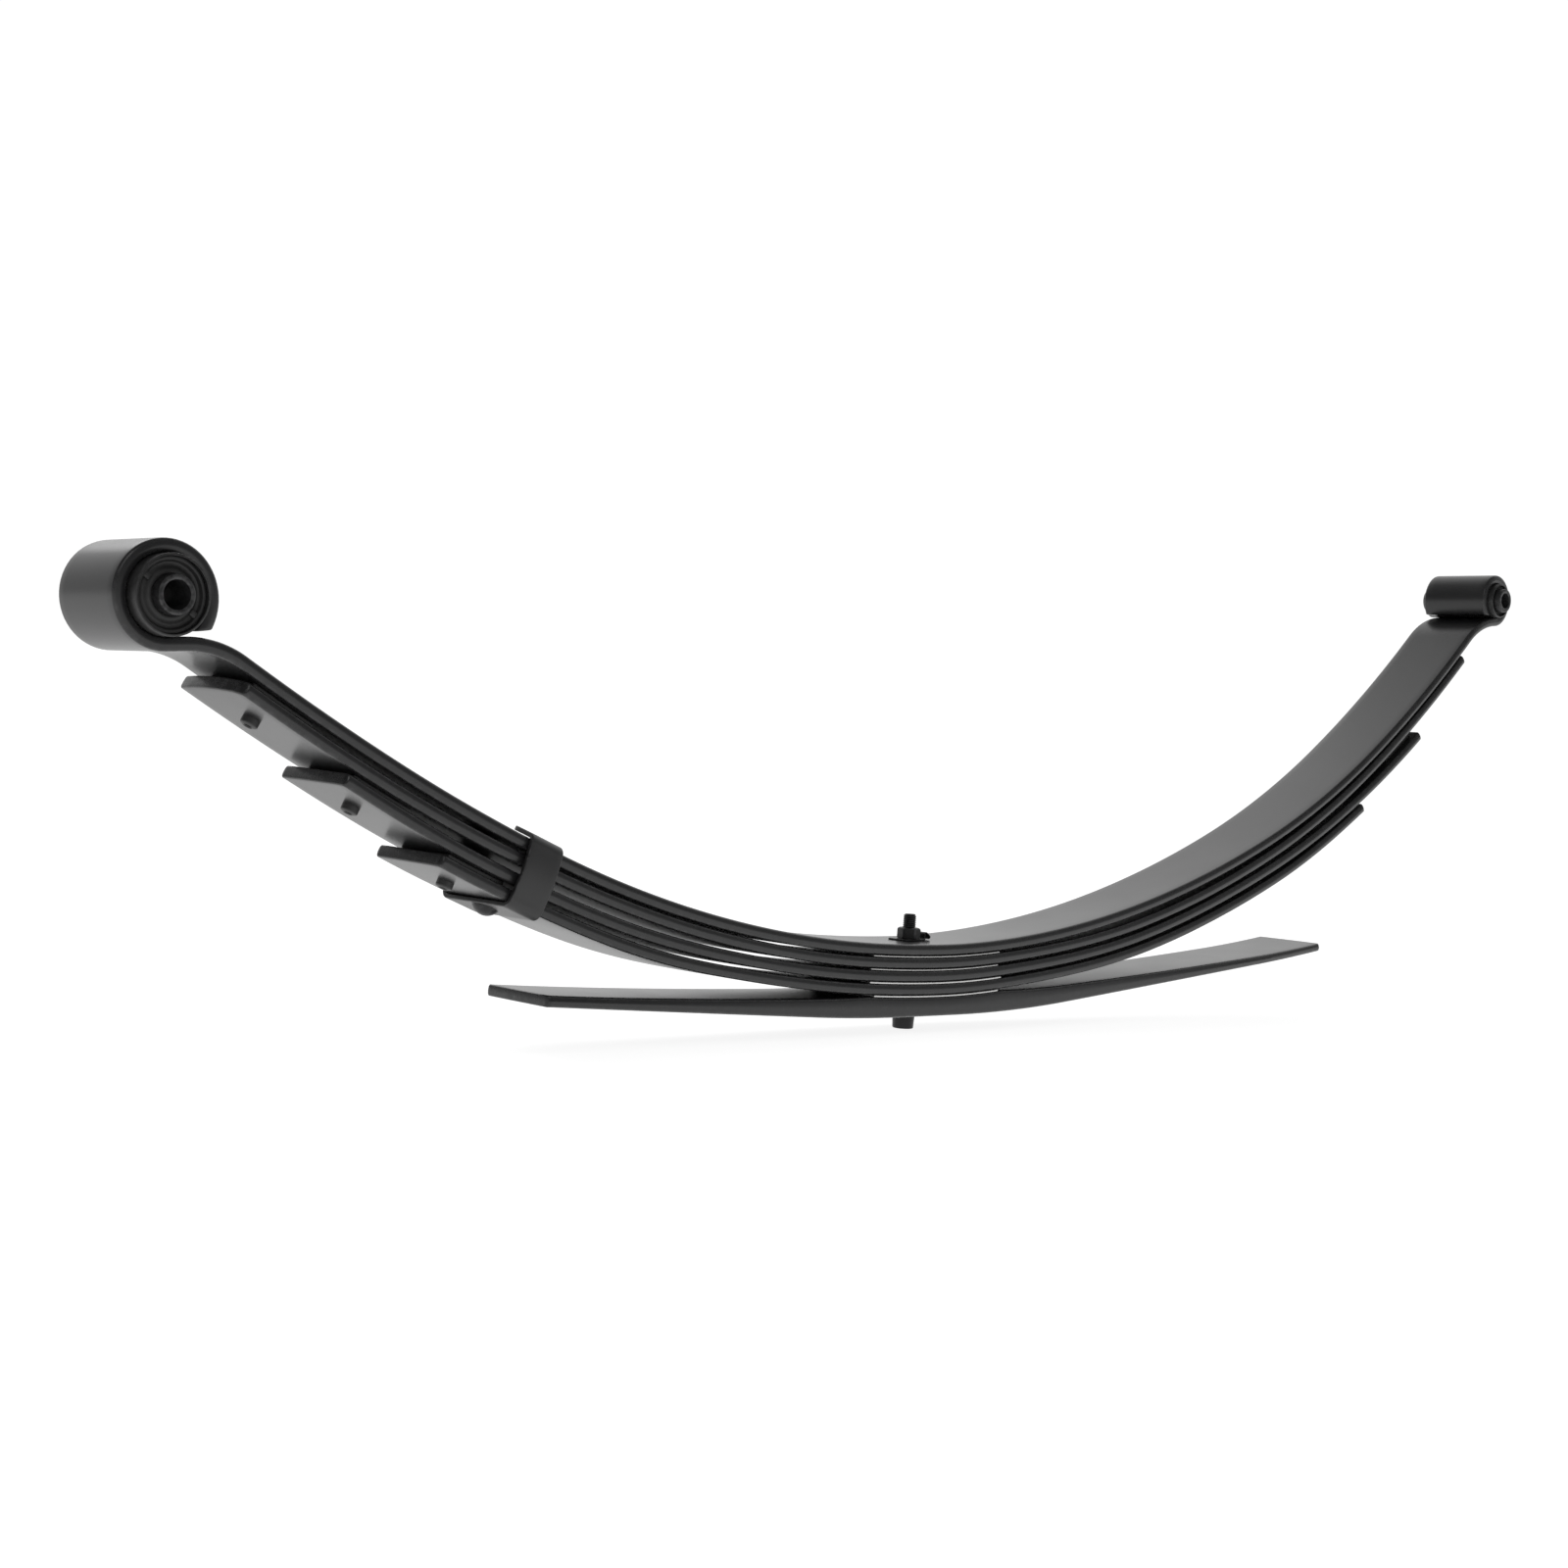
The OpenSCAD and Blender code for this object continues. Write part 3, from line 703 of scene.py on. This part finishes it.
def tab_washer():
    """Lock plate: flat under the nut, a rounded tongue folded up beside it and over toward the rear."""
    b = TAB_FOLD + TAB_BEND * pi / 2
    c = b + TAB_UP
    d = c + TAB_BEND * pi * (90 - TAB_DROOP) / 180
    arm = [(0, 0), (TAB_FOLD, 0), (b, 90), (c, 90), (d, TAB_DROOP), (d + TAB_TONGUE, TAB_DROOP)]
    end = arm[-1][0]
    half = TAB_WIDTH / 2
    stops = sorted(set([-TAB_FRONT + 0.05 * i * i for i in range(9)]
                       + spaced(-TAB_FRONT + 4, TAB_FOLD, 1.5)
                       + spaced(TAB_FOLD, d, 0.45) + spaced(d, end - 4, 1.0)
                       + [end - 4 * (1 - sin(pi / 2 * i / 9)) for i in range(10)]))
    rows = []
    for s in stops:
        x, z, a = walk(arm, s) if s > 0 else (s, 0.0, 0.0)
        if s < -TAB_FRONT + 3:
            reach = (-TAB_FRONT + 3 - s) / 3
            wide = half - 3 * (1 - (max(0.0, 1 - reach ** 2)) ** 0.5)
        elif s > end - 4:
            reach = (s - (end - 4)) / 4
            wide = (half - 2.6) - 4 * (1 - (max(0.0, 1 - reach ** 2)) ** 0.5)
        else:
            wide = half - 2.6 * min(1.0, max(0.0, (s - TAB_FOLD + 1) / 3))
        wide = max(wide, 1.2)
        profile = bar_profile(2 * wide, 0.3, 0, 6)

        def place(y, h, x=x, z=z, a=a):
            return x - h * sin(a), y, WASHER_SEAT + WASHER_T / 2 + z + h * cos(a)
        shrink = 0.25 if s in (stops[0], stops[-1]) else 0.0
        rows.append(bar_row(profile, WASHER_T, place, shrink))
    verts, faces, wear_and_sheen = skin(rows)
    return finish_piece("tab_washer", verts, faces, OXIDE, "fastener_black", "tab_washer", wear_and_sheen=wear_and_sheen)


# ---------------------------------------------------------------- rebound clip and its rivet
CLIP_T, CLIP_WIDTH, CLIP_BEND, CLIP_GAP = 3.0, 26.0, 5.2, 0.7
CLIP_BOW = 1.5                          # how far each side of the strap bows out
RIVET_STATION = CLIP_STATION + 3.5
RIVET_HEAD_R, RIVET_HEAD_H, RIVET_R = 8.6, 5.0, 4.0
CLIP_UNDER = top_depth(4, FRONT, CLIP_STATION) + LEAF_T + 0.7
CLIP_RISE = CLIP_UNDER + LEAF_T / 2 + 3.7
CLIP_TAB, CLIP_TAB_ANGLE = 19.0, 168


def on_clip(x, y, z):
    """Point in mm from the clip's own frame on the front arm: x along the leaf, z up its normal."""
    p = station(FRONT, CLIP_STATION, 0) @ Vector((x * MM, y * MM, z * MM))
    return tuple(p / MM)


def rebound_clip():
    """Strap under the leaves, up both sides, its ends bent in over the main leaf."""
    flat = LEAF_WIDTH / 2 + CLIP_GAP + CLIP_T / 2 - CLIP_BEND
    up = flat + CLIP_BEND * pi / 2
    high = up + CLIP_RISE - 2 * CLIP_BEND
    over = high + CLIP_BEND * pi * (CLIP_TAB_ANGLE - 90) / 180
    arm = [(0, 0), (flat, 0), (up, 90), (high, 90), (over, CLIP_TAB_ANGLE), (over + CLIP_TAB, CLIP_TAB_ANGLE)]
    end = arm[-1][0]
    base = -CLIP_UNDER - CLIP_T / 2
    part = [(end - back, shrink) for back, shrink in reversed(end_steps(0.7, 3))]
    part += [(s, 0.0) for s in [end - 2, end - 4, end - 7, end - 12] + spaced(over, high, 0.5)
             + spaced(high - 3, up + 3, 5) + spaced(up, flat, 0.5) + spaced(flat - 4, 0, 7)]
    rows = []
    for hand in (-1, 1):
        built = []
        for s, shrink in part:
            if hand == 1 and s == 0:
                continue
            y0, z0, a = walk(arm, s)
            if up < s < high:
                y0 += CLIP_BOW * sin(pi * (s - up) / (high - up))
            taper = 4.0 * (1 - max(0.0, 1 - max(0.0, (s - (end - 4)) / 4) ** 2) ** 0.5)
            profile = bar_profile(CLIP_WIDTH - 2 * min(taper, 3.4), 0.8, 0, 6)

            def place(across, h, y0=y0, z0=z0, a=a, hand=hand):
                return on_clip(across, hand * (y0 - h * sin(a)), base + z0 + h * cos(a))
            built.append(bar_row(profile, CLIP_T, place, shrink))
        rows += built if hand == -1 else list(reversed(built))
    verts, faces, wear_and_sheen = skin(rows)
    return finish_piece("rebound_clip", verts, faces, STRAP, "clip_black", "rebound_clip", wear_and_sheen=wear_and_sheen)


def clip_rivet():
    """Rivet through the fourth leaf and the clip: a domed head below, a low head above."""
    top = -top_depth(4, FRONT, RIVET_STATION) + 0.05
    bottom = -CLIP_UNDER - CLIP_T - 0.05
    head_r, head_h = RIVET_HEAD_R, RIVET_HEAD_H
    ball = (head_r ** 2 + head_h ** 2) / (2 * head_h)
    sweep = acos((ball - head_h) / ball)
    dome = [(max(ball * sin(sweep * i / 16), 0.001), bottom - head_h + ball * (1 - cos(sweep * i / 16)), 0.3)
            for i in range(17)]
    dome[-1] = (head_r - 0.25, bottom - 0.3, 0.8)
    profile = dome + [(head_r - 0.05, bottom - 0.12, 1.0), (head_r - 0.2, bottom, 0.8),
                      (RIVET_R, bottom, 0), (RIVET_R, top, 0), (5.4, top, 0.6), (5.6, top + 0.2, 1.0),
                      (5.5, top + 0.6, 0.6), (4.6, top + 1.05, 0.3),
                      (0.001, top + 1.2, 0)]
    verts, faces, wear_and_sheen = lathe(profile, station(FRONT, RIVET_STATION, 0), 64)
    return finish_piece("clip_rivet", verts, faces, OXIDE, "fastener_black", "clip_rivet", wear_and_sheen=wear_and_sheen)


# ---------------------------------------------------------------- tip pads
PAD_LENGTH, PAD_WIDTH, PAD_INSET = 44.0, 50.0, 7.0
PEG_R, PEG_BORE, PEG_REACH = 5.3, 2.7, 4.0


def tip_pad(side, number, name):
    """Plastic pad that fills the gap between two leaves near the tip, with a hollow peg through the leaf."""
    tip = TIPS[side][number - 1]
    inner = tip - PAD_INSET - PAD_LENGTH
    rows = []
    marks = end_steps(0.5, 3)
    stops = [(inner + back, shrink) for back, shrink in reversed(marks)]
    stops += [(s, 0.0) for s in spaced(inner + 4, tip - PAD_INSET - 4, 6)]
    stops += [(tip - PAD_INSET - back, shrink) for back, shrink in marks]
    for s, shrink in stops:
        high = -top_depth(number - 1, side, s) - LEAF_T - 0.05
        low = -top_depth(number, side, s) + 0.05
        thick = high - low

        def place(y, h, s=s, mid=(high + low) / 2):
            x, z, _ = on_arm(side, s, mid + h)
            return x, y, z
        fillet = min(0.6, thick * 0.4)
        rows.append(bar_row(bar_profile(PAD_WIDTH, fillet, 0, 6), thick, place, min(shrink, thick * 0.35)))
    verts, faces, wear_and_sheen = skin(rows)
    seat = -top_depth(number, side, tip - PEG_INSET)
    floor = seat - LEAF_T - PEG_REACH
    peg = rounded([(PEG_BORE, floor, 0.5), (PEG_R, floor, 1.0), (PEG_R, seat + 0.5, 0),
                   (0.001, seat + 0.5, 0),
                   (0.001, seat - 0.5, 0), (PEG_BORE, seat - 0.5, 0)], 3)
    more, peg_faces, peg_wear_and_sheen = lathe(peg, station(side, tip - PEG_INSET, 0), 48)
    shift = len(verts)
    verts += more
    faces += [tuple(i + shift for i in face) for face in peg_faces]
    return finish_piece(name, verts, faces, NYLON, "pad_plastic", name, wear_and_sheen=wear_and_sheen + peg_wear_and_sheen)


# ---------------------------------------------------------------- bushes
SHELL_LENGTH = {FRONT: LEAF_WIDTH + 16, REAR: LEAF_WIDTH + 8}
SLEEVE_LENGTH = {FRONT: 87.5, REAR: 80.5}
HOLE_R = {FRONT: 7.95, REAR: 7.0}
SHELL_WALL, SLEEVE_R, FIT = 1.4, 11.0, 0.05
END_NAME = {FRONT: "front", REAR: "rear"}
LUG_TURNS = radians(142), radians(322)


def at_eye(side):
    """Matrix of an eye's own frame, its Z along the bolt and pointing to -Y, the side the hub lugs face."""
    x, z = eye_centre(side)
    _, _, a = on_arm(side, TIPS[side][0], 0)
    return (Matrix.Translation((x * MM, 0, z * MM)) @ Matrix.Rotation(-side * a, 4, "Y")
            @ Matrix.Rotation(pi / 2, 4, "X"))


def two_ended(half_profile):
    """Closed profile from the points of its +Z end: outer side first, then inward."""
    return half_profile + [(r, -z, w) for r, z, w in reversed(half_profile)]


def bush_shell(side):
    """Thin steel tube pressed into an eye, its rims rounded."""
    r = EYE_R[side] - FIT
    half = SHELL_LENGTH[side] / 2
    profile = two_ended([(r, half - 0.6, 0.6), (r - 0.18, half - 0.18, 1.0), (r - 0.6, half, 0.8),
                         (r - SHELL_WALL + 0.3, half, 0.8), (r - SHELL_WALL, half - 0.3, 0.6)])
    name = END_NAME[side] + "_bush_shell"
    verts, faces, wear_and_sheen = lathe(profile, at_eye(side), 128)
    return finish_piece(name, verts, faces, SHELL, "bush_steel", name, wear_and_sheen=wear_and_sheen)


def bush_rubber(side):
    """Rubber between shell and sleeve: a lip at the shell, a moulded groove and a hub round the sleeve."""
    outer = EYE_R[side] - 2 * FIT - SHELL_WALL
    inner = SLEEVE_R + 0.05
    half = SHELL_LENGTH[side] / 2 - 2.5
    span = outer - inner
    steps = [(0.00, -0.6), (0.03, -0.15), (0.08, 0.0), (0.17, 0.0), (0.22, -0.25), (0.27, -1.1), (0.33, -2.0),
             (0.42, -2.3), (0.52, -2.2), (0.60, -1.6), (0.68, -0.75), (0.76, -0.2), (0.86, 0.0), (0.94, -0.1),
             (1.0, -0.5)]
    depth = 1.0 if side == FRONT else 0.45
    end = [(outer - span * t, half + z * depth, 0.0) for t, z in steps]
    profile = two_ended(end)
    verts, faces, wear_and_sheen = lathe(profile, at_eye(side), 128)
    name = END_NAME[side] + "_bush_rubber"
    if side == FRONT:
        for facing in (-1, 1):
            for turn in LUG_TURNS:
                lug = moulded_lug(at_eye(side), outer - span * 0.42, turn, half - 2.2, facing)
                shift = len(verts)
                verts += lug[0]
                faces += [tuple(i + shift for i in face) for face in lug[1]]
                wear_and_sheen += [0.0] * len(lug[0])
    return finish_piece(name, verts, faces, RUBBER, "bush_rubber", name, wear_and_sheen=wear_and_sheen)


def moulded_lug(matrix, r, turn, z, facing):
    """Small rounded block moulded in the groove of the front rubber."""
    verts, faces = [], []
    rings = [(2.3, 0.0), (2.3, 1.2), (2.1, 1.7), (1.6, 2.0), (0.6, 2.1)]
    segments = 20
    for size, rise in rings:
        for i in range(segments):
            a = 2 * pi * i / segments
            c, s = cos(a), sin(a)
            u = size * (abs(c) ** 0.5) * (1 if c > 0 else -1)
            v = size * 0.85 * (abs(s) ** 0.5) * (1 if s > 0 else -1)
            x = (r + u) * cos(turn) - v * sin(turn)
            y = (r + u) * sin(turn) + v * cos(turn)
            p = matrix @ Vector((x * MM, y * MM, facing * (z + rise) * MM))
            verts.append(tuple(p / MM))
    for k in range(len(rings) - 1):
        for i in range(segments):
            j = (i + 1) % segments
            faces.append((k * segments + i, k * segments + j, (k + 1) * segments + j, (k + 1) * segments + i))
    faces.append(tuple(range(segments)))
    faces.append(tuple(range((len(rings) - 1) * segments, len(rings) * segments)))
    return verts, faces


def bush_sleeve(side):
    """Steel tube round the bolt, which twists in the rubber."""
    half = SLEEVE_LENGTH[side] / 2
    hole = HOLE_R[side]
    profile = two_ended([(SLEEVE_R, half - 0.9, 0.4), (SLEEVE_R - 0.25, half - 0.3, 1.0),
                         (SLEEVE_R - 0.9, half, 0.9), (hole + 0.8, half, 0.9),
                         (hole + 0.15, half - 0.35, 1.0), (hole, half - 1.0, 0.4)])
    name = END_NAME[side] + "_bush_sleeve"
    verts, faces, wear_and_sheen = lathe(profile, at_eye(side), 96)
    return finish_piece(name, verts, faces, SLEEVE, "sleeve_steel", name,
                        body=END_NAME[side] + "_sleeve", wear_and_sheen=wear_and_sheen)


# ---------------------------------------------------------------- the whole spring
main_leaf()
leaf(2, "second_leaf", {FRONT: tip_shape(2.6, 3.2, (2.4, 5), (0.4, 2)),
                        REAR: tip_shape(0.8, 0, (1.5, 4), (1.5, 4))})
for number, name in ((3, "third_leaf"), (4, "fourth_leaf")):
    leaf(number, name, {FRONT: tip_shape(0.4, 3.4, (1.0, 2.5), (0.4, 2)),
                        REAR: tip_shape(0.3, 0, (0.8, 2.5), (0.8, 2))})
overload_leaf()
# how far each plate reaches from the bolt, toward the front and toward the rear
for number, front_end, rear_end in ((1, 67.5, 65.2), (2, 69.1, 63.6), (3, 68.8, 67.0), (4, 63.4, 63.7)):
    spacer(number, front_end, rear_end)
centre_bolt()
centre_nut()
tab_washer()
rebound_clip()
clip_rivet()
for side in (FRONT, REAR):
    for number in (2, 3, 4):
        tip_pad(side, number, "%s_pad_%d" % (END_NAME[side], number))
    bush_shell(side)
    bush_rubber(side)
    bush_sleeve(side)


# ---------------------------------------------------------------- floor, light and camera
FLOOR_R, FLOOR_GREY, FLOOR_GLOW = 60.0, 0.45, 0.86


def lit_floor():
    """Plain pale floor, lit a little from within so that its shadows stay faint."""
    f = Finish("pale_floor")
    shader = f.node("ShaderNodeBsdfDiffuse", Color=(FLOOR_GREY, FLOOR_GREY, FLOOR_GREY, 1))
    glow = f.node("ShaderNodeEmission", Color=(1, 1, 1, 1), Strength=FLOOR_GLOW)
    f.output(f.node("ShaderNodeAddShader", i0=shader, i1=glow))
    mesh = bpy.data.meshes.new("floor")
    shell = bmesh.new()
    bmesh.ops.create_circle(shell, cap_ends=True, radius=FLOOR_R, segments=48)
    shell.to_mesh(mesh)
    shell.free()
    floor = bpy.data.objects.new("floor", mesh)
    floor.location = (0, 0, -HEAD_H * MM - 0.0002)
    mesh.materials.append(f.material)
    bpy.context.scene.collection.objects.link(floor)


def softbox(name, at, look, size, power):
    """Rectangular soft light, in metres and watts, turned toward a point."""
    light = bpy.data.lights.new(name, "AREA")
    light.shape = "RECTANGLE"
    light.size, light.size_y = size
    light.energy = power
    lamp = bpy.data.objects.new(name, light)
    lamp.location = at
    lamp.rotation_euler = (Vector(look) - Vector(at)).to_track_quat("-Z", "Y").to_euler()
    bpy.context.scene.collection.objects.link(lamp)


def studio():
    """Surround that is white behind the spring and a mid grey behind the camera."""
    world = bpy.data.worlds.new("studio")
    bpy.context.scene.world = world
    world.use_nodes = True
    nodes, links = world.node_tree.nodes, world.node_tree.links
    at = nodes.new("ShaderNodeTexCoord")
    toward = nodes.new("ShaderNodeVectorMath")
    toward.operation = "DOT_PRODUCT"
    toward.inputs[1].default_value = (0.69, 0.72, 0.0)
    ramp = nodes.new("ShaderNodeMapRange")
    ramp.interpolation_type = "SMOOTHSTEP"
    for slot, value in (("From Min", 0.08), ("From Max", 0.62), ("To Min", 0.2), ("To Max", 1.05)):
        ramp.inputs[slot].default_value = value
    nodes["Background"].inputs["Color"].default_value = (1, 1, 1, 1)
    links.new(at.outputs["Generated"], toward.inputs[0])
    links.new(toward.outputs["Value"], ramp.inputs["Value"])
    links.new(ramp.outputs["Result"], nodes["Background"].inputs["Strength"])
    bpy.context.scene.view_settings.view_transform = "Standard"


CAMERA_AT = Vector((-1.23302, -1.14302, 0.18065))
CAMERA_RIGHT = Vector((0.720345, -0.690563, 0.065007)).normalized()
CAMERA_AHEAD = Vector((0.692572, 0.721235, -0.01281)).normalized()
CAMERA_LENS = 53.0


def place_camera():
    """The camera, low and from the front eye's side."""
    data = bpy.data.cameras.new("camera")
    data.lens = CAMERA_LENS
    data.sensor_width = 36
    data.clip_start, data.clip_end = 0.01, 200
    camera = bpy.data.objects.new("camera", data)
    up = CAMERA_RIGHT.cross(CAMERA_AHEAD).normalized()
    right = CAMERA_AHEAD.cross(up).normalized()
    turn = Matrix((right, up, -CAMERA_AHEAD)).transposed()
    camera.matrix_world = Matrix.Translation(CAMERA_AT) @ turn.to_4x4()
    bpy.context.scene.collection.objects.link(camera)
    bpy.context.scene.camera = camera


lit_floor()
studio()
softbox("key", (-1.6, -2.0, 2.2), (0, 0, 0.15), (1.6, 1.2), 9)
softbox("back", (0.6, 2.2, 2.0), (0, 0, 0.1), (2.4, 1.0), 14)
place_camera()
